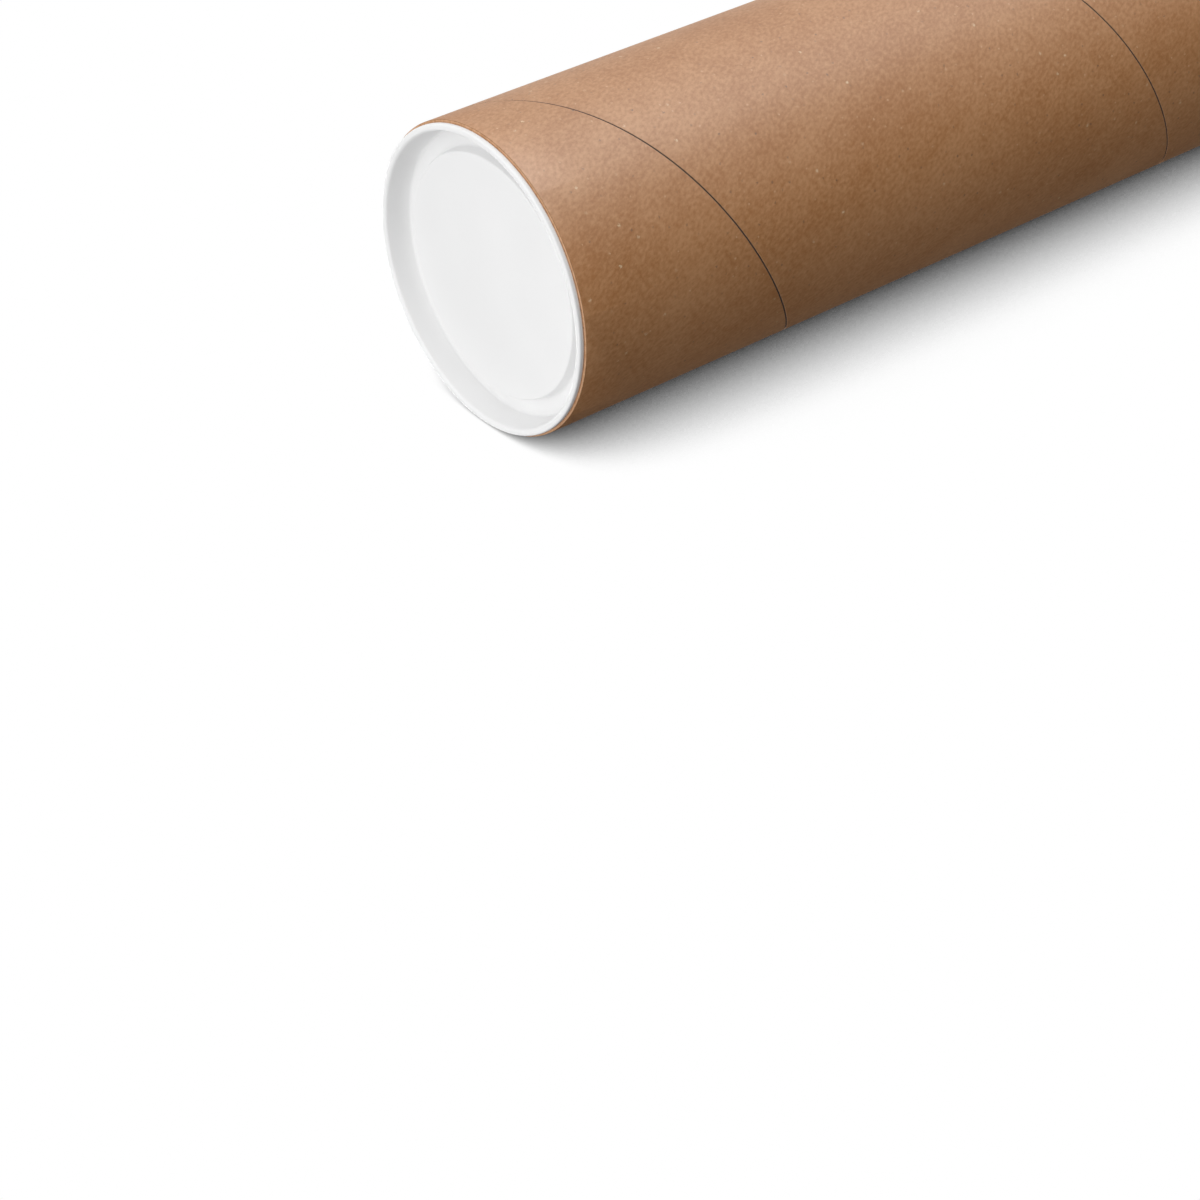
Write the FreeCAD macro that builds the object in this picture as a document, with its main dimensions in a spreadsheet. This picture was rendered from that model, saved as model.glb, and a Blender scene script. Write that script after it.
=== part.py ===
"""Cardboard mailing tube: a spirally wound kraft board tube with a moulded push-in cap in each end.

Millimetres. The tube stands on its bottom cap with its axis along +Z, and the origin is the centre of
that cap's face. Each cap is drawn with its face at height 0 and its skirt upwards, so the bottom cap
stays as drawn and the top cap is the same moulding turned over.
"""

import FreeCAD, Part
import os

import Sketcher

# The driving dimensions: name, value and what it measures.
SIZES = (
    ("tube_length", 609.6, "board tube from cut end to cut end, 24 inches"),
    ("bore", 76.2, "inside diameter of the tube, 3 inches"),
    ("wall", 1.7, "board thickness"),
    ("ply_width", 120.0, "width of the outer paper strip, which sets the winding's pitch"),
    ("seam_gap", 0.4, "gap between neighbouring edges of the outer strip"),
    ("seam_depth", 0.25, "thickness of the outer strip"),
    ("seam_offset", 21.5, "where the seam crosses the -Y side, below the top end"),
    ("cap_clearance", 0.1, "radial clearance of a cap's skirt in the bore"),
    ("lip_inset", 0.6, "how far the lip stays inside the tube's outer surface"),
    ("lip_thickness", 1.5, "lip from the tube's end to the cap's face"),
    ("skirt_length", 15.0, "skirt from the lip's underside to its end"),
    ("skirt_wall", 1.3, "skirt thickness below the recess"),
    ("lead_in_length", 1.5, "tapered stretch at the skirt's end"),
    ("lead_in_depth", 0.7, "how far that taper comes in"),
    ("recess_depth", 6.9, "cap's face to the floor of the ring groove"),
    ("recess_wall", 1.6, "wall between the groove and the bore, at the groove's floor"),
    ("recess_draft", 1.0, "how much wider the recess is at the face than at its floor"),
    ("groove_width", 4.6, "ring groove between the recess wall and the plateau"),
    ("plateau_depth", 3.9, "cap's face to the raised middle"),
    ("plateau_draft", 0.5, "how much the plateau's side leans in"),
    ("web_thickness", 1.2, "moulded thickness of the groove's floor and the plateau"),
    ("lip_inner_rounding", 0.8, "lip's inner edge"),
    ("lip_outer_rounding", 0.5, "lip's outer edge at the face"),
    ("lip_under_rounding", 0.5, "lip's outer edge at the tube's end"),
    ("groove_rounding", 0.7, "both corners of the groove's floor"),
    ("plateau_rounding", 0.5, "plateau's edge"),
    ("inner_rounding", 0.4, "corners of the cap's inner side"),
)

# What follows from them: name and formula.
LAYOUT = (
    ("bore_radius", "Sizes.bore / 2"),
    ("tube_radius", "bore_radius + Sizes.wall"),
    ("turn_length", "2 * pi * tube_radius"),
    ("seam_pitch", "Sizes.ply_width / sqrt(1 - pow(Sizes.ply_width / turn_length; 2))"),
    ("seam_height", "Sizes.seam_gap * seam_pitch / Sizes.ply_width"),
    ("seam_top", "Sizes.tube_length - Sizes.seam_offset + seam_pitch / 4"),
    ("seam_turns", "floor((seam_top + seam_height) / seam_pitch) + 1"),
    ("seam_start", "seam_top - seam_turns * seam_pitch"),
    ("skirt_radius", "bore_radius - Sizes.cap_clearance"),
    ("skirt_end", "Sizes.lip_thickness + Sizes.skirt_length"),
    ("lip_radius", "tube_radius - Sizes.lip_inset"),
    ("recess_radius", "skirt_radius - Sizes.recess_wall"),
    ("mouth_radius", "recess_radius + Sizes.recess_draft"),
    ("plateau_foot", "recess_radius - Sizes.groove_width"),
    ("plateau_top", "plateau_foot - Sizes.plateau_draft"),
    ("groove_under", "Sizes.recess_depth + Sizes.web_thickness"),
    ("plateau_under", "Sizes.plateau_depth + Sizes.web_thickness"),
    ("total_height", "Sizes.tube_length + 2 * Sizes.lip_thickness"),
)

CLOSE = 1e-4  # two lengths nearer than this, in millimetres, are the same


def sheet(doc, name, rows):
    """A spreadsheet with a name, a value and a note in each row. The value's cell has the name as its alias."""
    made = doc.addObject("Spreadsheet::Sheet", name)
    for number, (alias, value, *note) in enumerate(rows, 1):
        made.set(f"A{number}", alias)
        made.set(f"B{number}", str(value))
        made.setAlias(f"B{number}", alias)
        if note:
            made.set(f"C{number}", note[0])
    doc.recompute()
    return made


def origin_part(body, role):
    """One of the body's own origin planes or axes."""
    return next(part for part in body.Origin.OriginFeatures if part.Role == role)


def outline(body, name, corners):
    """A closed outline of straight lines in the body's XZ plane.

    corners maps each corner's name to formulas for its distance from the axis and its height.
    """
    sketch = body.newObject("Sketcher::SketchObject", name)
    sketch.AttachmentSupport = (origin_part(body, "XZ_Plane"), [""])
    sketch.MapMode = "FlatFace"
    points = [FreeCAD.Vector(*map(sketch.evalExpression, at), 0) for at in corners.values()]
    for start, end in zip(points, points[1:] + points[:1]):
        sketch.addGeometry(Part.LineSegment(start, end), False)
    for line in range(len(points)):
        following = (line + 1) % len(points)
        sketch.addConstraint(Sketcher.Constraint("Coincident", line, 2, following, 1))
    for line, (corner, (radius, height)) in enumerate(corners.items()):
        hold(sketch, line, "DistanceX", f"{corner}_radius", radius, -2)
        hold(sketch, line, "DistanceY", f"{corner}_height", height, -1)
    return sketch


def hold(sketch, line, kind, name, formula, axis):
    """Holds the start of a line at a distance from the sketch's origin, or on its axis where that is 0."""
    value = sketch.evalExpression(formula)
    if formula == "0":
        sketch.addConstraint(Sketcher.Constraint("PointOnObject", line, 1, axis))
        return
    index = sketch.addConstraint(Sketcher.Constraint(kind, -1, 1, line, 1, value))
    sketch.renameConstraint(index, name)
    sketch.setExpression(f"Constraints.{name}", formula)


def turn(body, sketch):
    """The outline turned once round the body's Z axis."""
    made = body.newObject("PartDesign::Revolution", sketch.Name + "Turned")
    made.Profile = sketch
    made.ReferenceAxis = (origin_part(body, "Z_Axis"), [""])
    made.Angle = 360
    sketch.Visibility = False
    body.Document.recompute()
    return made


def round_rims(body, name, radius_formula, rims):
    """Rounds the circular edges at these radii and heights, all with one radius."""
    base = body.Tip
    places = [[base.evalExpression(formula) for formula in rim] for rim in rims]
    edges = [
        f"Edge{number}"
        for number, edge in enumerate(base.Shape.Edges, 1)
        if isinstance(edge.Curve, Part.Circle) and is_rim(edge.Curve, places)
    ]
    if len(edges) != len(rims):
        raise ValueError(f"{name} found {len(edges)} edges for {len(rims)} rims")
    made = body.newObject("PartDesign::Fillet", name)
    made.Base = (base, edges)
    made.setExpression("Radius", radius_formula)
    body.Document.recompute()
    return made


def is_rim(circle, places):
    """True if the circle has the radius and the height of one of these places."""
    return any(
        abs(circle.Radius - radius) < CLOSE and abs(circle.Center.z - height) < CLOSE
        for radius, height in places
    )


def make_tube(doc):
    """The wound board tube, with the gap between the outer strip's edges as a helical groove."""
    body = doc.addObject("PartDesign::Body", "Tube")
    body.Label = "tube"
    wall = {
        "inner_foot": ("Layout.bore_radius", "0"),
        "outer_foot": ("Layout.tube_radius", "0"),
        "outer_head": ("Layout.tube_radius", "Sizes.tube_length"),
        "inner_head": ("Layout.bore_radius", "Sizes.tube_length"),
    }
    turn(body, outline(body, "Wall", wall))
    cut_seam(body)
    body.setExpression("Placement.Base.z", "Sizes.lip_thickness")
    return body


def cut_seam(body):
    """Cuts the seam along a right-handed helix that starts and ends past the tube's ends."""
    inside = "Layout.tube_radius - Sizes.seam_depth"
    outside = "Layout.tube_radius + Sizes.seam_depth"
    low = "Layout.seam_start - Layout.seam_height / 2"
    high = "Layout.seam_start + Layout.seam_height / 2"
    section = {
        "deep_low": (inside, low),
        "open_low": (outside, low),
        "open_high": (outside, high),
        "deep_high": (inside, high),
    }
    sketch = outline(body, "SeamSection", section)
    whole = body.Tip.Shape.Volume
    seam = body.newObject("PartDesign::SubtractiveHelix", "Seam")
    seam.Profile = sketch
    seam.ReferenceAxis = (origin_part(body, "Z_Axis"), [""])
    seam.Mode = "pitch-height-angle"
    seam.LeftHanded = False
    seam.setExpression("Pitch", "Layout.seam_pitch")
    seam.setExpression("Height", "(Layout.seam_turns + 1) * Layout.seam_pitch")
    sketch.Visibility = False
    body.Document.recompute()
    if not seam.Shape.Volume < whole:
        raise ValueError("the seam cut nothing")
    return seam


def make_cap(doc, name, label):
    """One moulded cap: a lip on the tube's end, a skirt in its bore and a recessed face with a plateau."""
    body = doc.addObject("PartDesign::Body", name)
    body.Label = label
    corners = {
        "middle": ("0", "Sizes.plateau_depth"),
        "plateau_edge": ("Layout.plateau_top", "Sizes.plateau_depth"),
        "plateau_foot": ("Layout.plateau_foot", "Sizes.recess_depth"),
        "groove_outer": ("Layout.recess_radius", "Sizes.recess_depth"),
        "mouth": ("Layout.mouth_radius", "0"),
        "lip_face": ("Layout.lip_radius", "0"),
        "lip_under": ("Layout.lip_radius", "Sizes.lip_thickness"),
        "skirt_root": ("Layout.skirt_radius", "Sizes.lip_thickness"),
        "lead_in": ("Layout.skirt_radius", "Layout.skirt_end - Sizes.lead_in_length"),
        "skirt_tip": ("Layout.skirt_radius - Sizes.lead_in_depth", "Layout.skirt_end"),
        "skirt_inner_tip": ("Layout.skirt_radius - Sizes.skirt_wall", "Layout.skirt_end"),
        "groove_under": ("Layout.skirt_radius - Sizes.skirt_wall", "Layout.groove_under"),
        "plateau_under": ("Layout.plateau_foot - Sizes.web_thickness", "Layout.groove_under"),
        "inner_edge": ("Layout.plateau_top - Sizes.web_thickness", "Layout.plateau_under"),
        "inner_middle": ("0", "Layout.plateau_under"),
    }
    turn(body, outline(body, name + "Section", corners))
    roundings = {
        "LipInner": ("Sizes.lip_inner_rounding", ["mouth"]),
        "LipOuter": ("Sizes.lip_outer_rounding", ["lip_face"]),
        "LipUnder": ("Sizes.lip_under_rounding", ["lip_under"]),
        "Groove": ("Sizes.groove_rounding", ["groove_outer", "plateau_foot"]),
        "Plateau": ("Sizes.plateau_rounding", ["plateau_edge"]),
        "Inner": ("Sizes.inner_rounding", ["groove_under", "plateau_under", "inner_edge"]),
    }
    for part, (radius, rims) in roundings.items():
        round_rims(body, f"{name}{part}Rounding", radius, [corners[rim] for rim in rims])
    return body


def check(doc, bodies):
    """Stops the build if any object failed or any body isn't one valid solid."""
    for item in doc.Objects:
        if {"Invalid", "Error"} & set(item.State):
            raise ValueError(f"{item.Name} failed: {item.State}")
    for body in bodies:
        shape = body.Shape
        if shape.isNull() or not shape.isValid() or len(shape.Solids) != 1:
            raise ValueError(f"{body.Label} isn't one valid solid")


def main():
    doc = FreeCAD.newDocument("MailingTube")
    sheet(doc, "Sizes", SIZES)
    sheet(doc, "Layout", [(alias, "=" + formula) for alias, formula in LAYOUT])
    tube = make_tube(doc)
    bottom_cap = make_cap(doc, "BottomCap", "bottom_cap")
    top_cap = make_cap(doc, "TopCap", "top_cap")
    top_cap.Placement.Rotation = FreeCAD.Rotation(FreeCAD.Vector(1, 0, 0), 180)
    top_cap.setExpression("Placement.Base.z", "Layout.total_height")
    doc.recompute()
    bodies = (tube, top_cap, bottom_cap)
    check(doc, bodies)
    os.makedirs("parts", exist_ok=True)
    for body in bodies:
        body.Shape.exportStep(f"parts/{body.Label}.step")
        print(body.Label, f"{body.Shape.Volume:.0f} mm3")


main()
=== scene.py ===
"""Looks of a cardboard mailing tube with a moulded push-in cap in each end.

Metres, in the part's own frame: the tube stands on its bottom cap with its axis along +Z. The main view
shows it lying down, so the camera is rolled and the floor it lies on is a plane on the tube's +Y side.
"""

import math

import bpy
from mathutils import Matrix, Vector


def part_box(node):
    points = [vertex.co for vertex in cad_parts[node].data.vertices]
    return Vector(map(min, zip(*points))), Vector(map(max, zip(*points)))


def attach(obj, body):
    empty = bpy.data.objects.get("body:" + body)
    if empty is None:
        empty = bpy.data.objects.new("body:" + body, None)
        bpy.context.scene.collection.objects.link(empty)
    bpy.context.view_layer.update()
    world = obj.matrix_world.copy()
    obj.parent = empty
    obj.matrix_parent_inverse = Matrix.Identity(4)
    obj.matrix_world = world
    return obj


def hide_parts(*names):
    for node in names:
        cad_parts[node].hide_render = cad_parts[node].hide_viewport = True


MM = 0.001

# Sizes of the winding that the frame doesn't give
BOARD_WALL = 1.7 * MM
PLY_WIDTH = 120 * MM
SEAM_GAP = 0.4 * MM
SEAM_DEPTH = 0.25 * MM
SEAM_BELOW_TOP = 21.5 * MM  # where the seam crosses the -Y side
PLY_EDGE_LEAN = 0.04 * MM  # the strip's slit edge leans out by this
PLY_EDGE_ROUNDING = 0.08 * MM
CUT_ROUNDING = 0.15 * MM  # the burr that the knife leaves on the tube's ends, worn off
ROUNDING_STEPS = 3
SEAM_RUN_OUT = 1 * MM  # the seam closes over this length at the tube's ends
SIDES = 256
FACE_COLUMNS = 8  # across the outer strip, between its edges

# Sizes of the moulded cap that the frame doesn't give. Its face has a recess with a ring groove in it round a
# raised middle, the plateau.
LIP_OVERHANG = 1.2 * MM  # past the skirt
LIP_THICKNESS = 1.5 * MM
LIP_INNER_ROUNDING = 0.8 * MM
LIP_OUTER_ROUNDING = 0.5 * MM
SKIRT_LENGTH = 15 * MM
SKIRT_WALL = 1.3 * MM
LEAD_IN_LENGTH = 1.5 * MM
LEAD_IN_DEPTH = 0.7 * MM  # the skirt's end is narrower by this
RECESS_DEPTH = 6.9 * MM
RECESS_WALL = 1.6 * MM  # between the skirt's outside and the foot of the recess
RECESS_DRAFT = 1 * MM  # the recess is wider by this at its mouth
GROOVE_WIDTH = 4.6 * MM
GROOVE_ROUNDING = 0.7 * MM
PLATEAU_DEPTH = 3.9 * MM
PLATEAU_DRAFT = 0.5 * MM  # the plateau is narrower by this at its top
PLATEAU_ROUNDING = 0.5 * MM
WEB_THICKNESS = 1.2 * MM
INNER_ROUNDING = 0.4 * MM
BEND_STEPS = 5  # along each rounding
BEND_MARGIN = 0.1 * MM  # an extra row this far from each bend keeps the flat beyond it evenly shaded

MERGE_WITHIN = 0.01 * MM
SHARP_ANGLE = math.radians(40)
FACES_END = 0.5  # a face is on a cut end where its normal's Z is above this, up or down
BELOW_ALL = -1  # metres, well past the tube's ends
ABOVE_ALL = 2
PLY_MAP = "ply"  # UV map in metres: along the outer strip, across it
SEAM_MARK = "seam"  # 1 on the seam's floor, 0 on the strip's face

# A Mix node's sockets for colours, which share their names with its sockets for other kinds
SHARE = 0
FIRST_COLOUR = 6
SECOND_COLOUR = 7
MIXED_COLOUR = 2

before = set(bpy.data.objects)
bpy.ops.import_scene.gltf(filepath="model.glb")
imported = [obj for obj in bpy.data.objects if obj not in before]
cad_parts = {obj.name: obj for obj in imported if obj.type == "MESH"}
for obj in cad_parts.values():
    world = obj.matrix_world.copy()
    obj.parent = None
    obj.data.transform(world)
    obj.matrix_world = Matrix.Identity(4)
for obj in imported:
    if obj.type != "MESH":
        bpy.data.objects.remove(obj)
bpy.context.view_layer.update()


def linear(hex_colour):
    """An sRGB hex colour as linear red, green, blue and alpha."""
    channels = [int(hex_colour[place : place + 2], 16) / 255 for place in (1, 3, 5)]
    return [c / 12.92 if c <= 0.04045 else ((c + 0.055) / 1.055) ** 2.4 for c in channels] + [1]


def add(tree, kind, sockets, **settings):
    """Adds a node with its settings. Its sockets take plain values, other nodes or their outputs.

    A socket is given by its name, or by its number where several have one name.
    """
    made = tree.nodes.new(kind)
    for name, value in settings.items():
        setattr(made, name, value)
    for key, value in sockets.items():
        if isinstance(value, bpy.types.Node):
            value = next(output for output in value.outputs if output.enabled)
        if isinstance(value, bpy.types.NodeSocket):
            tree.links.new(value, made.inputs[key])
        else:
            made.inputs[key].default_value = value
    return made


def new_tree(name, sizes):
    """An empty geometry tree with one Geometry output. sizes maps each input's name to its socket type."""
    tree = bpy.data.node_groups.new(name, "GeometryNodeTree")
    for size, kind in sizes.items():
        tree.interface.new_socket(size, in_out="INPUT", socket_type="NodeSocket" + kind)
    tree.interface.new_socket("Geometry", in_out="OUTPUT", socket_type="NodeSocketGeometry")
    return tree


def winding_tree():
    """Sweeps a section along a straight rail, one unit a turn, and winds that flat strip round the Z axis.

    The section's X lies along the tube and its Y points outwards from the radius.
    """
    tree = new_tree("Winding", {
        "Section": "Object",
        "Turns": "Float",
        "Sides": "Int",
        "Radius": "Float",
        "Pitch": "Float",
        "Start height": "Float",
        "Lowest": "Float",
        "Highest": "Float",
        "Run-out": "Float",
        "Lean": "Float",
    })
    size = add(tree, "NodeGroupInput", {}).outputs
    section = add(tree, "GeometryNodeObjectInfo", {"Object": size["Section"]}).outputs["Geometry"]
    rail_end = add(tree, "ShaderNodeCombineXYZ", {"Z": size["Turns"]})
    rail = add(tree, "GeometryNodeCurvePrimitiveLine", {"Start": (0, 0, 0), "End": rail_end})
    rows = add(tree, "ShaderNodeMath", {0: size["Turns"], 1: size["Sides"], 2: 1}, operation="MULTIPLY_ADD")
    stations = add(tree, "GeometryNodeResampleCurve", {"Curve": rail, "Count": rows})
    strip = add(tree, "GeometryNodeCurveToMesh", {"Curve": stations, "Profile Curve": section})

    place = add(tree, "ShaderNodeSeparateXYZ", {0: add(tree, "GeometryNodeInputPosition", {})}).outputs
    start = add(tree, "ShaderNodeMath", {0: place["X"], 1: size["Start height"]}, operation="ADD")
    rise = add(tree, "ShaderNodeMath", {0: place["Z"], 1: size["Pitch"], 2: start}, operation="MULTIPLY_ADD")
    height = add(tree, "ShaderNodeClamp", {"Value": rise, "Min": size["Lowest"], "Max": size["Highest"]})
    above = add(tree, "ShaderNodeMath", {0: height, 1: size["Lowest"]}, operation="SUBTRACT")
    below = add(tree, "ShaderNodeMath", {0: size["Highest"], 1: height}, operation="SUBTRACT")
    to_end = add(tree, "ShaderNodeMath", {0: above, 1: below}, operation="MINIMUM")
    run_out = add(tree, "ShaderNodeMapRange", {"Value": to_end, "From Max": size["Run-out"]})
    out = add(tree, "ShaderNodeMath", {0: place["Y"], 1: run_out}, operation="MULTIPLY")
    radius = add(tree, "ShaderNodeMath", {0: out, 1: size["Radius"]}, operation="ADD")
    spoke = add(tree, "ShaderNodeCombineXYZ", {"X": radius, "Z": height})
    quarter = -math.pi / 2  # the rail starts on the -Y side
    angle = add(tree, "ShaderNodeMath", {0: place["Z"], 1: math.tau, 2: quarter}, operation="MULTIPLY_ADD")
    wound = add(tree, "ShaderNodeVectorRotate", {"Vector": spoke, "Angle": angle}, rotation_type="Z_AXIS")

    turn_length = add(tree, "ShaderNodeMath", {0: size["Radius"], 1: math.tau}, operation="MULTIPLY")
    girth = add(tree, "ShaderNodeMath", {0: place["Z"], 1: turn_length}, operation="MULTIPLY")
    unrolled = add(tree, "ShaderNodeCombineXYZ", {"X": girth, "Y": height})
    lean_back = add(tree, "ShaderNodeMath", {0: size["Lean"], 1: -1}, operation="MULTIPLY")
    on_ply = add(
        tree,
        "ShaderNodeVectorRotate",
        {"Vector": unrolled, "Angle": lean_back},
        rotation_type="Z_AXIS",
    )
    mapped = add(
        tree,
        "GeometryNodeStoreNamedAttribute",
        {"Geometry": strip, "Name": PLY_MAP, "Value": on_ply},
        data_type="FLOAT2",
        domain="CORNER",
    )
    depth = add(tree, "ShaderNodeMath", {0: out, 1: -1 / SEAM_DEPTH}, operation="MULTIPLY")
    marked = add(
        tree,
        "GeometryNodeStoreNamedAttribute",
        {"Geometry": mapped, "Name": SEAM_MARK, "Value": depth},
        data_type="FLOAT",
        domain="POINT",
    )
    placed = add(tree, "GeometryNodeSetPosition", {"Geometry": marked, "Position": wound})
    add(tree, "NodeGroupOutput", {"Geometry": placed})
    return tree


def lathe_sizes(section, size):
    """What the winding tree takes to turn a section once round the axis, with nothing cut off at its ends."""
    return {
        "Section": section,
        "Turns": 1,
        "Sides": size["Sides"],
        "Lowest": BELOW_ALL,
        "Highest": ABOVE_ALL,
        "Run-out": size["Run-out"],
    }


def close_and_smooth(tree, turned):
    """Ends a tree: closes the turned shape's seam and poles, faces it outwards and smooths its bends."""
    merged = add(tree, "GeometryNodeMergeByDistance", {"Geometry": turned, "Distance": MERGE_WITHIN})
    smooth = add(tree, "GeometryNodeSetShadeSmooth", {"Geometry": merged})
    bend = add(tree, "GeometryNodeInputMeshEdgeAngle", {})
    sharp = add(tree, "FunctionNodeCompare", {0: bend, 1: SHARP_ANGLE}, operation="GREATER_THAN")
    creased = add(
        tree,
        "GeometryNodeSetShadeSmooth",
        {"Geometry": smooth, "Selection": sharp, "Shade Smooth": False},
        domain="EDGE",
    )
    outwards = add(tree, "GeometryNodeFlipFaces", {"Mesh": creased})
    real = add(tree, "GeometryNodeRealizeInstances", {"Geometry": outwards})
    add(tree, "NodeGroupOutput", {"Geometry": real})


def board_tube_tree():
    """The outer strip's face wound from end to end, and a lathed section of both cut ends and the bore."""
    tree = new_tree("Board tube", {
        "Ply section": "Object",
        "Rim section": "Object",
        "Radius": "Float",
        "Length": "Float",
        "Foot height": "Float",
        "Pitch": "Float",
        "Lean": "Float",
        "Seam start": "Float",
        "Seam turns": "Float",
        "Cut rounding": "Float",
        "Run-out": "Float",
        "Sides": "Int",
        "Outer face": "Material",
        "Cut end": "Material",
        "Bore": "Material",
    })
    size = add(tree, "NodeGroupInput", {}).outputs
    winding = winding_tree()
    face_top = add(tree, "ShaderNodeMath", {0: size["Length"], 1: size["Cut rounding"]}, operation="SUBTRACT")
    face_sizes = {
        "Section": size["Ply section"],
        "Turns": size["Seam turns"],
        "Sides": size["Sides"],
        "Radius": size["Radius"],
        "Pitch": size["Pitch"],
        "Start height": size["Seam start"],
        "Lowest": size["Cut rounding"],
        "Highest": face_top,
        "Run-out": size["Run-out"],
        "Lean": size["Lean"],
    }
    face = add(tree, "GeometryNodeGroup", face_sizes, node_tree=winding)
    face = add(tree, "GeometryNodeSetMaterial", {"Geometry": face, "Material": size["Outer face"]})
    rim_sizes = lathe_sizes(size["Rim section"], size)
    rim_sizes["Radius"] = size["Radius"]
    rims = add(tree, "GeometryNodeGroup", rim_sizes, node_tree=winding)
    rims = add(tree, "GeometryNodeSetMaterial", {"Geometry": rims, "Material": size["Bore"]})
    normal = add(tree, "ShaderNodeSeparateXYZ", {0: add(tree, "GeometryNodeInputNormal", {})}).outputs["Z"]
    facing = add(tree, "ShaderNodeMath", {0: normal}, operation="ABSOLUTE")
    on_end = add(tree, "FunctionNodeCompare", {0: facing, 1: FACES_END}, operation="GREATER_THAN")
    rims = add(
        tree,
        "GeometryNodeSetMaterial",
        {"Geometry": rims, "Selection": on_end, "Material": size["Cut end"]},
    )
    joined = add(tree, "GeometryNodeJoinGeometry", {"Geometry": face})
    tree.links.new(rims.outputs[0], joined.inputs[0])
    foot = add(tree, "ShaderNodeCombineXYZ", {"Z": size["Foot height"]})
    raised = add(tree, "GeometryNodeSetPosition", {"Geometry": joined, "Offset": foot})
    close_and_smooth(tree, raised)
    return tree


def cap_tree():
    """A cap's section turned once round the tube's axis."""
    tree = new_tree("Moulded cap", {
        "Section": "Object",
        "Sides": "Int",
        "Run-out": "Float",
        "Plastic": "Material",
    })
    size = add(tree, "NodeGroupInput", {}).outputs
    cap_sizes = lathe_sizes(size["Section"], size)
    turned = add(tree, "GeometryNodeGroup", cap_sizes, node_tree=winding_tree())
    plastic = add(tree, "GeometryNodeSetMaterial", {"Geometry": turned, "Material": size["Plastic"]})
    close_and_smooth(tree, plastic)
    return tree


def section_curve(name, points):
    """A drawn section as a straight-sided curve in the XY plane."""
    curve = bpy.data.curves.new(name, "CURVE")
    spline = curve.splines.new("POLY")
    spline.points.add(len(points) - 1)
    for point, (x, y) in zip(spline.points, points):
        point.co = (x, y, 0, 1)
    made = bpy.data.objects.new(name, curve)
    bpy.context.scene.collection.objects.link(made)
    return made


def ply_section(pitch):
    """The outer strip from the middle of the seam to the middle of the seam's next turn."""
    half_gap = SEAM_GAP / 2 * pitch / PLY_WIDTH
    edge = [
        (0, -SEAM_DEPTH),
        (half_gap - PLY_EDGE_LEAN, -SEAM_DEPTH),
        (half_gap, -PLY_EDGE_ROUNDING),
        (half_gap + PLY_EDGE_ROUNDING, 0),
    ]
    face = [(pitch * column / FACE_COLUMNS, 0) for column in range(1, FACE_COLUMNS)]
    far_edge = [(pitch - x, y) for x, y in reversed(edge)]
    return section_curve("ply_section", edge + face + far_edge)


def rim_section(length):
    """From the outer face over the top end, down the bore and over the foot to the outer face again."""
    rounds = [math.radians(90 * step / ROUNDING_STEPS) for step in range(ROUNDING_STEPS + 1)]
    outer = [(-CUT_ROUNDING * (1 - math.sin(a)), -CUT_ROUNDING * (1 - math.cos(a))) for a in rounds]
    inner = [(x, -BOARD_WALL - y) for x, y in reversed(outer)]
    top = [(length + x, y) for x, y in outer + inner]
    foot = [(length - x, y) for x, y in reversed(top)]
    return section_curve("rim_section", top + foot)


def wind_tube():
    """The whole board tube as one closed mesh in place of the frame's plain one."""
    low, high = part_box("tube")
    radius = high.x
    length = high.z - low.z
    turn_length = math.tau * radius
    pitch = PLY_WIDTH / math.sqrt(1 - (PLY_WIDTH / turn_length) ** 2)
    seam_top = length - SEAM_BELOW_TOP
    seam_start = seam_top - (math.ceil(seam_top / pitch) + 1) * pitch
    sections = [ply_section(pitch), rim_section(length)]
    sizes = {
        "Ply section": sections[0],
        "Rim section": sections[1],
        "Radius": radius,
        "Length": length,
        "Foot height": low.z,
        "Pitch": pitch,
        "Lean": math.atan2(pitch, turn_length),
        "Seam start": seam_start,
        "Seam turns": float(math.ceil((length - seam_start) / pitch)),
        "Cut rounding": CUT_ROUNDING,
        "Run-out": SEAM_RUN_OUT,
        "Sides": SIDES,
        "Outer face": kraft_liner(),
        "Cut end": cut_board(),
        "Bore": inner_ply(),
    }
    tube = grow("wound_tube", board_tube_tree(), sizes)
    for section in sections:
        bpy.data.objects.remove(section)
    return tube


def rounded(corners):
    """The points of a section with its bends drawn. corners gives each one's x, y and rounding."""
    shares = [step / BEND_STEPS for step in range(BEND_STEPS + 1)]
    points = [corners[0][:2]]
    for before, corner, after in zip(corners, corners[1:], corners[2:]):
        here = Vector(corner[:2])
        rounding = corner[2]
        back = (Vector(before[:2]) - here).normalized()
        on = (Vector(after[:2]) - here).normalized()
        half = back.angle(on) / 2
        reach = rounding / math.tan(half)
        bend = [here]
        if rounding:
            centre = here + (back + on).normalized() * rounding / math.sin(half)
            start = here + back * reach - centre
            end = here + on * reach - centre
            # slerp gives a direction, one unit long
            bend = [centre + start.slerp(end, share) * rounding for share in shares]
        points += [here + back * (reach + BEND_MARGIN), *bend, here + on * (reach + BEND_MARGIN)]
    return points + [corners[-1][:2]]


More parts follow.
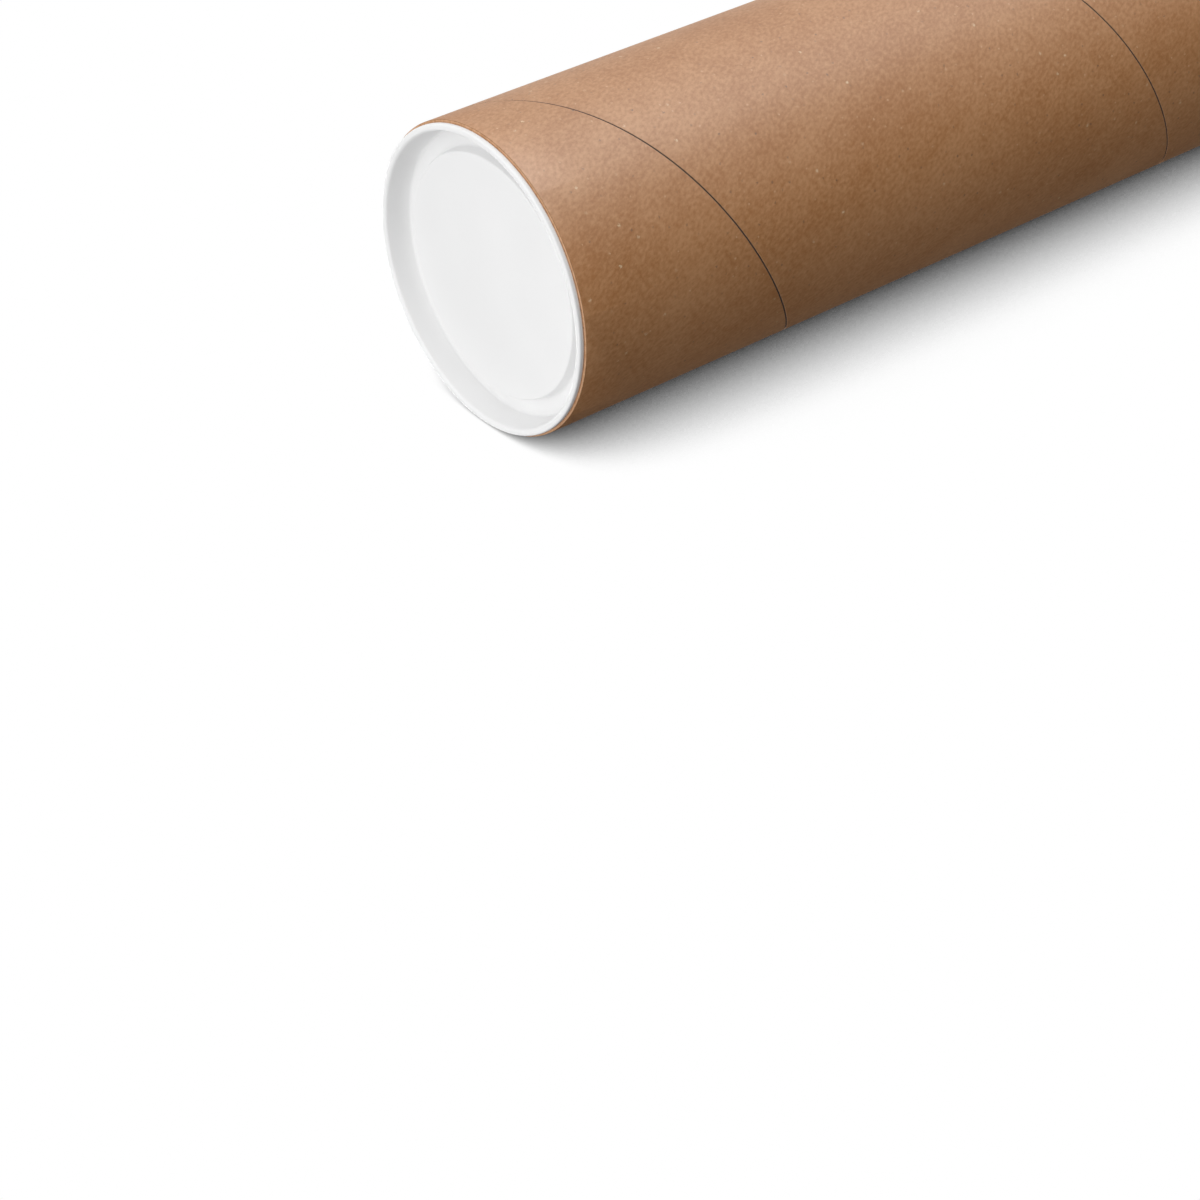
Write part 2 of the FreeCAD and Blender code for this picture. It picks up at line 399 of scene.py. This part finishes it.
def cap_section(lip_radius, face, inwards):
    """From the middle of a cap's face over its lip and skirt to the middle of its inner side.

    face is the height of its face, and inwards is 1 where its skirt points up and -1 where it points down.
    """
    skirt = lip_radius - LIP_OVERHANG
    recess = skirt - RECESS_WALL
    plateau = recess - GROOVE_WIDTH
    skirt_end = LIP_THICKNESS + SKIRT_LENGTH
    groove_under = RECESS_DEPTH + WEB_THICKNESS
    plateau_under = PLATEAU_DEPTH + WEB_THICKNESS
    corners = [
        (PLATEAU_DEPTH, 0, 0),
        (PLATEAU_DEPTH, plateau - PLATEAU_DRAFT, PLATEAU_ROUNDING),
        (RECESS_DEPTH, plateau, GROOVE_ROUNDING),
        (RECESS_DEPTH, recess, GROOVE_ROUNDING),
        (0, recess + RECESS_DRAFT, LIP_INNER_ROUNDING),
        (0, lip_radius, LIP_OUTER_ROUNDING),
        (LIP_THICKNESS, lip_radius, LIP_OUTER_ROUNDING),
        (LIP_THICKNESS, skirt, 0),
        (skirt_end - LEAD_IN_LENGTH, skirt, 0),
        (skirt_end, skirt - LEAD_IN_DEPTH, 0),
        (skirt_end, skirt - SKIRT_WALL, 0),
        (groove_under, skirt - SKIRT_WALL, INNER_ROUNDING),
        (groove_under, plateau - WEB_THICKNESS, INNER_ROUNDING),
        (plateau_under, plateau - PLATEAU_DRAFT - WEB_THICKNESS, INNER_ROUNDING),
        (plateau_under, 0, 0),
    ]
    points = [(face + inwards * depth, radius) for depth, radius in rounded(corners)]
    return section_curve("cap_section", points[::inwards])


def mould_cap(name, plastic):
    """One cap as a turned mesh in place of the frame's plain one."""
    low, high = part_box(name)
    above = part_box("tube")[0].z < low.z
    section = cap_section(high.x, high.z if above else low.z, -1 if above else 1)
    sizes = {"Section": section, "Sides": SIDES, "Run-out": SEAM_RUN_OUT, "Plastic": plastic}
    cap = grow("moulded_" + name, cap_tree(), sizes)
    bpy.data.objects.remove(section)
    return cap


def grow(name, tree, sizes):
    """A plain mesh object made by a geometry tree with these inputs."""
    seed = bpy.data.objects.new(name, bpy.data.meshes.new(name + "_seed"))
    bpy.context.scene.collection.objects.link(seed)
    modifier = seed.modifiers.new(tree.name, "NODES")
    modifier.node_group = tree
    for socket in tree.interface.items_tree:
        if socket.in_out == "INPUT":
            modifier[socket.identifier] = sizes[socket.name]
    evaluated = seed.evaluated_get(bpy.context.evaluated_depsgraph_get())
    mesh = bpy.data.meshes.new_from_object(evaluated)
    mesh.name = name
    seed.modifiers.remove(modifier)
    seed.data = mesh
    return seed


def new_material(name):
    """A material with an empty tree."""
    made = bpy.data.materials.new(name)
    made.use_nodes = True
    made.node_tree.nodes.clear()
    return made


# The paper's texture. Real fibres are 0.03 mm wide, too fine to show, so the grain stands for their tufts.
FIBRE_TUFT = 0.9 * MM
PULP_CLOUD = 5 * MM
FELT_MARK = 26 * MM
TUFT_HEIGHT = 0.03 * MM
TUFT_DRAW = 0.65  # along the way the tufts are drawn out, they come this much as often as across it
TUFTS_IN_TONE = 0.6
CLOUDS_IN_TONE = 0.2  # and as much of the felt marks
DARKEST_TONE = 0.37
LIGHTEST_TONE = 0.63
FLECK_BEND = 2  # a fleck is bent by up to this many of its radii
FLECK_EDGE = 1.5  # a fleck thins out from its radius to this many radii
FLECK_FAINTNESS = 1.6  # a higher power makes more of the flecks faint
# Each kind of fleck: the cell it has a chance of being in, its radius, that chance, its colour, and how far
# its pattern is moved so that no two kinds coincide
FLECKS = (
    (6.5 * MM, 0.45 * MM, 0.25, "#e6cba4", 0.31),
    (3.5 * MM, 0.3 * MM, 0.3, "#dcb48a", 1.43),
    (3.5 * MM, 0.35 * MM, 0.35, "#865c3c", 0.77),
)


def pulp(tree, place, dark, light):
    """Felted paper pulp: tufts and clouds of fibre, with pale and dark flecks of recycled stock among them.

    place is where on the paper, in metres, with Y the way its tufts are drawn out, across the wound strip.
    Gives the colour and the tufts' height as outputs.
    """
    drawn_out = add(tree, "ShaderNodeMapping", {"Vector": place, "Scale": (1, TUFT_DRAW, 1)})
    tufts = add(
        tree,
        "ShaderNodeTexNoise",
        {"Vector": drawn_out, "Scale": 1 / FIBRE_TUFT, "Detail": 4, "Roughness": 0.6},
        noise_dimensions="2D",
    )
    clouds = add(
        tree,
        "ShaderNodeTexNoise",
        {"Vector": drawn_out, "Scale": 1 / PULP_CLOUD, "Detail": 3, "Roughness": 0.55},
        noise_dimensions="2D",
    )
    marks = add(
        tree,
        "ShaderNodeTexNoise",
        {"Vector": drawn_out, "Scale": 1 / FELT_MARK, "Detail": 1},
        noise_dimensions="2D",
    )
    cloudy = add(tree, "ShaderNodeMath", {0: clouds, 1: marks}, operation="ADD")
    soft = add(tree, "ShaderNodeMath", {0: cloudy, 1: CLOUDS_IN_TONE}, operation="MULTIPLY")
    tone = add(tree, "ShaderNodeMath", {0: tufts, 1: TUFTS_IN_TONE, 2: soft}, operation="MULTIPLY_ADD")
    range_of_tone = {"Value": tone, "From Min": DARKEST_TONE, "From Max": LIGHTEST_TONE}
    spread = add(tree, "ShaderNodeMapRange", range_of_tone)
    stock = {SHARE: spread, FIRST_COLOUR: dark, SECOND_COLOUR: light}
    colour = add(tree, "ShaderNodeMix", stock, data_type="RGBA").outputs[MIXED_COLOUR]
    for cell, radius, chance, fleck, moved in FLECKS:
        share = flecks(tree, place, cell, radius, chance, moved)
        flecked = {SHARE: share, FIRST_COLOUR: colour, SECOND_COLOUR: linear(fleck)}
        colour = add(tree, "ShaderNodeMix", flecked, data_type="RGBA").outputs[MIXED_COLOUR]
    return colour, tufts.outputs[0]


def flecks(tree, place, cell, radius, chance, moved):
    """How much of a fleck is at a place. A fleck sits in a cell by chance and is faint, ragged and bent."""
    shifted = add(tree, "ShaderNodeMapping", {"Vector": place, "Location": (moved, moved, 0)})
    ragged = add(tree, "ShaderNodeTexNoise", {"Vector": shifted, "Scale": 1 / radius}, noise_dimensions="2D")
    pull = {0: ragged.outputs["Color"], "Scale": FLECK_BEND * radius}
    bend = add(tree, "ShaderNodeVectorMath", pull, operation="SCALE")
    bent = add(tree, "ShaderNodeVectorMath", {0: shifted, 1: bend}, operation="ADD")
    cells = add(tree, "ShaderNodeTexVoronoi", {"Vector": bent, "Scale": 1 / cell}, voronoi_dimensions="2D")
    draws = add(tree, "ShaderNodeSeparateColor", {0: cells.outputs["Color"]}).outputs
    drawn = add(tree, "ShaderNodeMath", {0: draws[0], 1: chance}, operation="LESS_THAN")
    faint = add(tree, "ShaderNodeMath", {0: draws[1], 1: FLECK_FAINTNESS}, operation="POWER")
    strength = add(tree, "ShaderNodeMath", {0: drawn, 1: faint}, operation="MULTIPLY")
    rough = add(tree, "ShaderNodeMath", {0: ragged, 1: radius / cell}, operation="MULTIPLY")
    reach = add(tree, "ShaderNodeMath", {0: cells.outputs["Distance"], 1: rough}, operation="ADD")
    edge = {
        "Value": reach,
        "From Min": radius / cell,
        "From Max": FLECK_EDGE * radius / cell,
        "To Min": 1,
        "To Max": 0,
    }
    inside = add(tree, "ShaderNodeMapRange", edge)
    return add(tree, "ShaderNodeMath", {0: inside, 1: strength}, operation="MULTIPLY")


GLAZED_ROUGHNESS = 0.47
GLAZED_IOR = 1.77
TORN_ROUGHNESS = 0.9  # the unglazed ply down in the seam


def kraft_liner():
    """Machine-glazed kraft liner, the outer strip: pressed on a hot polished drum, which gives it a shine.

    The shine is broad and soft, and stronger than paper's own, so the IOR is above paper's 1.5. The seam is
    dull, and its floor is painted near black: painted shade of the narrow groove over the darker ply there.
    """
    made = new_material("kraft_liner")
    tree = made.node_tree
    place = add(tree, "ShaderNodeUVMap", {}, uv_map=PLY_MAP)
    colour, tufts = pulp(tree, place, linear("#b2753c"), linear("#cc9564"))
    in_seam = add(tree, "ShaderNodeAttribute", {}, attribute_name=SEAM_MARK).outputs["Fac"]
    # Painted shade: the seam's floor is painted near black for the narrow groove's shade, over the darker ply
    # there
    seam_painted_shade = {SHARE: in_seam, FIRST_COLOUR: colour, SECOND_COLOUR: linear("#2e1a0d")}
    shown = add(tree, "ShaderNodeMix", seam_painted_shade, data_type="RGBA")
    polish = {"Value": in_seam, "To Min": GLAZED_ROUGHNESS, "To Max": TORN_ROUGHNESS}
    roughness = add(tree, "ShaderNodeMapRange", polish)
    bump = add(tree, "ShaderNodeBump", {"Height": tufts, "Distance": TUFT_HEIGHT, "Strength": 1})
    board = add(
        tree,
        "ShaderNodeBsdfPrincipled",
        {
            "Base Color": shown.outputs[MIXED_COLOUR],
            "Roughness": roughness,
            "IOR": GLAZED_IOR,
            "Specular IOR Level": 1,
            "Normal": bump,
        },
    )
    add(tree, "ShaderNodeOutputMaterial", {"Surface": board})
    return made


PLIES = 3
PLY_THICKNESS = BOARD_WALL / PLIES
# Painted shade: the glue lines are drawn wide and dark to stand for the shade of the gap under the cap's lip
# too
GLUE_AND_GAP_SHADE_CORE = 0.02 * MM  # a glue line is darkest up to this far from its middle
GLUE_AND_GAP_SHADE_EDGE = 0.12 * MM  # and ends here
GLUE_AND_GAP_SHADE_DARKNESS = 0.8
UNGLAZED_SPECULAR = 0.3  # the level of paper that wasn't glazed


def cut_board():
    """Wound grey-brown board, cut square by a knife: three plies show as rings between darker glue lines.

    The glue lines are drawn wide and dark as painted shade of the gap under the cap's lip as well.
    """
    made = new_material("cut_board")
    tree = made.node_tree
    place = add(tree, "ShaderNodeTexCoord", {}).outputs["Object"]
    colour, tufts = pulp(tree, place, linear("#b98a63"), linear("#d5a986"))
    flat = add(tree, "ShaderNodeMapping", {"Vector": place, "Scale": (1, 1, 0)})
    radius = add(tree, "ShaderNodeVectorMath", {0: flat}, operation="LENGTH").outputs["Value"]
    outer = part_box("tube")[1].x
    depth = add(tree, "ShaderNodeMath", {0: outer, 1: radius}, operation="SUBTRACT")
    to_dark_ring = add(tree, "ShaderNodeMath", {0: depth, 1: PLY_THICKNESS}, operation="PINGPONG")
    on_dark_ring = {"Value": to_dark_ring, "From Min": GLUE_AND_GAP_SHADE_EDGE, "From Max": GLUE_AND_GAP_SHADE_CORE, "To Max": GLUE_AND_GAP_SHADE_DARKNESS}
    # The dark rings are real glue and also painted shade of the gap under the cap's lip
    glue_and_gap_shade = add(tree, "ShaderNodeMapRange", on_dark_ring)
    rings = {SHARE: glue_and_gap_shade, FIRST_COLOUR: colour, SECOND_COLOUR: linear("#5b3c26")}
    ringed = add(tree, "ShaderNodeMix", rings, data_type="RGBA")
    bump = add(tree, "ShaderNodeBump", {"Height": tufts, "Distance": TUFT_HEIGHT, "Strength": 1})
    board = add(
        tree,
        "ShaderNodeBsdfPrincipled",
        {
            "Base Color": ringed.outputs[MIXED_COLOUR],
            "Roughness": 0.85,
            "Specular IOR Level": UNGLAZED_SPECULAR,
            "Normal": bump,
        },
    )
    add(tree, "ShaderNodeOutputMaterial", {"Surface": board})
    return made


def inner_ply():
    """Plain chipboard ply, the lining of the bore: the same pulp as the liner, unglazed and duller."""
    made = new_material("inner_ply")
    tree = made.node_tree
    place = add(tree, "ShaderNodeUVMap", {}, uv_map=PLY_MAP)
    colour, tufts = pulp(tree, place, linear("#8f6238"), linear("#b98a60"))
    bump = add(tree, "ShaderNodeBump", {"Height": tufts, "Distance": TUFT_HEIGHT, "Strength": 1})
    board = add(
        tree,
        "ShaderNodeBsdfPrincipled",
        {
            "Base Color": colour,
            "Roughness": 0.75,
            "Specular IOR Level": UNGLAZED_SPECULAR,
            "Normal": bump,
        },
    )
    add(tree, "ShaderNodeOutputMaterial", {"Surface": board})
    return made


# Spark-eroded mould steel leaves a fine matt grain, drawn here twice as coarse so that it shows
MOULD_GRAIN = 0.5 * MM
MOULD_GRAIN_HEIGHT = 0.012 * MM
SINK_MARK = 14 * MM
SINK_DEPTH = 0.08 * MM
POLYETHYLENE_IOR = 1.51


def moulded_polyethylene():
    """Low-density polyethylene, injection moulded in white: waxy, and slightly wavy where it has shrunk."""
    made = new_material("moulded_polyethylene")
    tree = made.node_tree
    place = add(tree, "ShaderNodeTexCoord", {}).outputs["Object"]
    grain = add(tree, "ShaderNodeTexNoise", {"Vector": place, "Scale": 1 / MOULD_GRAIN, "Detail": 2})
    sink = add(tree, "ShaderNodeTexNoise", {"Vector": place, "Scale": 1 / SINK_MARK, "Detail": 0})
    whites = {SHARE: sink, FIRST_COLOUR: linear("#efefef"), SECOND_COLOUR: linear("#f3f3f3")}
    colour = add(tree, "ShaderNodeMix", whites, data_type="RGBA")
    waves = add(tree, "ShaderNodeBump", {"Height": sink, "Distance": SINK_DEPTH, "Strength": 0.5})
    grained = {"Height": grain, "Distance": MOULD_GRAIN_HEIGHT, "Strength": 0.5, "Normal": waves}
    bump = add(tree, "ShaderNodeBump", grained)
    plastic = add(
        tree,
        "ShaderNodeBsdfPrincipled",
        {
            "Base Color": colour.outputs[MIXED_COLOUR],
            "Roughness": 0.42,
            "IOR": POLYETHYLENE_IOR,
            "Normal": bump,
        },
    )
    add(tree, "ShaderNodeOutputMaterial", {"Surface": plastic})
    return made


# The camera that the photograph was taken with, in the standing tube's frame
CAMERA_PLACE = Vector((-0.52148, -0.37437, 0.99161))
CAMERA_TURN = [math.radians(angle) for angle in (-36.634, 51.1029, 179.2299)]
CAMERA_LENS = 93.11
CAMERA_SENSOR = 36


def set_camera():
    """Looks down on the top cap of the lying tube, which runs off the upper right of the picture."""
    data = bpy.data.cameras.new("camera")
    data.lens = CAMERA_LENS
    data.sensor_width = CAMERA_SENSOR
    camera = bpy.data.objects.new("camera", data)
    camera.location = CAMERA_PLACE
    camera.rotation_euler = CAMERA_TURN
    bpy.context.scene.collection.objects.link(camera)
    bpy.context.scene.camera = camera


# Soft lamps: the angle round the tube's axis that the light comes from and its height towards +Z, how wide
# the lamp looks, all in degrees, and its strength, where 1 alone shows a facing colour as it is written.
# -90 is overhead in the main view. The rear fill is for the side that the main view doesn't show.
LAMPS = {
    "overhead": (-90, 0, 40, 0.27),
    "overhead_far": (-83, -20, 60, 0.22),
    "front_near": (-120, 35, 40, 0.19),
    "front_far": (-120, -30, 60, 0.07),
    "behind": (-12, -25, 80, 0.24),
    "rear_fill": (35, -5, 30, 0.45),
}
WORLD_BEFORE_CAP = 1.63  # the world's light straight ahead of the top cap
WORLD_FALL_OFF = 2  # a higher power makes it fall off faster to the sides
WORLD_EVEN = 0.04


def set_lamps():
    """A bank of soft lamps over the lying tube, and a fill from behind it."""
    for name, (turn, height, softness, strength) in LAMPS.items():
        data = bpy.data.lights.new(name, "SUN")
        data.energy = math.pi * strength
        data.angle = math.radians(softness)
        lamp = bpy.data.objects.new(name, data)
        lamp.rotation_euler = (math.radians(90 - height), 0, math.radians(90 + turn))
        bpy.context.scene.collection.objects.link(lamp)


def set_world():
    """A white backdrop to the camera. The light it gives is brightest in front of the top cap.

    Glossy rays see that light and not the white, which would wash out the glazed board's dark underside.
    """
    world = bpy.data.worlds.new("studio")
    world.use_nodes = True
    tree = world.node_tree
    tree.nodes.clear()
    direction = add(tree, "ShaderNodeTexCoord", {}).outputs["Generated"]
    ahead = add(tree, "ShaderNodeSeparateXYZ", {0: direction}).outputs["Z"]
    in_front = add(tree, "ShaderNodeMath", {0: ahead, 1: 0}, operation="MAXIMUM")
    before_cap = add(tree, "ShaderNodeMath", {0: in_front, 1: WORLD_FALL_OFF}, operation="POWER")
    strength = add(
        tree,
        "ShaderNodeMath",
        {0: before_cap, 1: WORLD_BEFORE_CAP, 2: WORLD_EVEN},
        operation="MULTIPLY_ADD",
    )
    light = add(tree, "ShaderNodeBackground", {"Color": (1, 1, 1, 1), "Strength": strength})
    white = add(tree, "ShaderNodeBackground", {"Color": (1, 1, 1, 1), "Strength": 1})
    path = add(tree, "ShaderNodeLightPath", {}).outputs
    backdrop = {0: path["Is Camera Ray"], 1: path["Is Transmission Ray"]}
    shown = add(tree, "ShaderNodeMath", backdrop, operation="MAXIMUM")
    mixed = add(tree, "ShaderNodeMixShader", {0: shown, 1: light, 2: white})
    add(tree, "ShaderNodeOutputWorld", {"Surface": mixed})
    bpy.context.scene.world = world


FLOOR_MARGIN = 0.16  # the floor goes on this far round the tube. The backdrop past it is as white.
SHADOW_REACH = 0.15
LIT_FROM = (0, -1, 0.4)  # from above and a little from before the top cap
SHADOW_CORE = 0.13  # where no more than this of the room is seen, the floor is black
SHADOW_EDGE = 0.6  # and from here on it is white
SHADOW_SAMPLES = 16


def seamless_floor():
    """White paper floor that shows only how much of the room above it the object hides."""
    made = new_material("white_paper_floor")
    tree = made.node_tree
    lit_from = add(tree, "ShaderNodeVectorMath", {0: LIT_FROM}, operation="NORMALIZE")
    room = {"Distance": SHADOW_REACH, "Normal": lit_from}
    open_sky = add(tree, "ShaderNodeAmbientOcclusion", room, samples=SHADOW_SAMPLES).outputs["AO"]
    level = {"Value": open_sky, "From Min": SHADOW_CORE, "From Max": SHADOW_EDGE}
    shaded = add(tree, "ShaderNodeMapRange", level)
    paper = add(tree, "ShaderNodeEmission", {"Color": linear("#ffffff"), "Strength": shaded})
    see_through = add(tree, "ShaderNodeBsdfTransparent", {})
    behind = add(tree, "ShaderNodeNewGeometry", {}).outputs["Backfacing"]
    one_sided = add(tree, "ShaderNodeMixShader", {0: behind, 1: paper, 2: see_through})
    add(tree, "ShaderNodeOutputMaterial", {"Surface": one_sided})
    return made


def lay_floor():
    """The floor that the tube lies on in the main view, a plane on its +Y side facing -Y."""
    low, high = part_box("tube")
    left, right = low.x - FLOOR_MARGIN, high.x + FLOOR_MARGIN
    bottom, top = low.z - FLOOR_MARGIN, high.z + FLOOR_MARGIN
    mesh = bpy.data.meshes.new("floor")
    corners = [(left, high.y, bottom), (right, high.y, bottom), (right, high.y, top), (left, high.y, top)]
    mesh.from_pydata(corners, [], [(0, 1, 2, 3)])
    mesh.materials.append(seamless_floor())
    floor = bpy.data.objects.new("floor", mesh)
    floor.visible_diffuse = False
    floor.visible_glossy = False
    floor.visible_transmission = False
    floor.visible_shadow = False
    bpy.context.scene.collection.objects.link(floor)


def main():
    """Puts the tube and its caps on their bodies and lights them."""
    tube = wind_tube()
    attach(tube, "tube")
    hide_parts("tube")
    plastic = moulded_polyethylene()
    for name in ("top_cap", "bottom_cap"):
        cap = mould_cap(name, plastic)
        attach(cap, name)
        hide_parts(name)
    set_camera()
    set_lamps()
    set_world()
    lay_floor()
    bpy.context.scene.view_settings.view_transform = "Standard"


main()
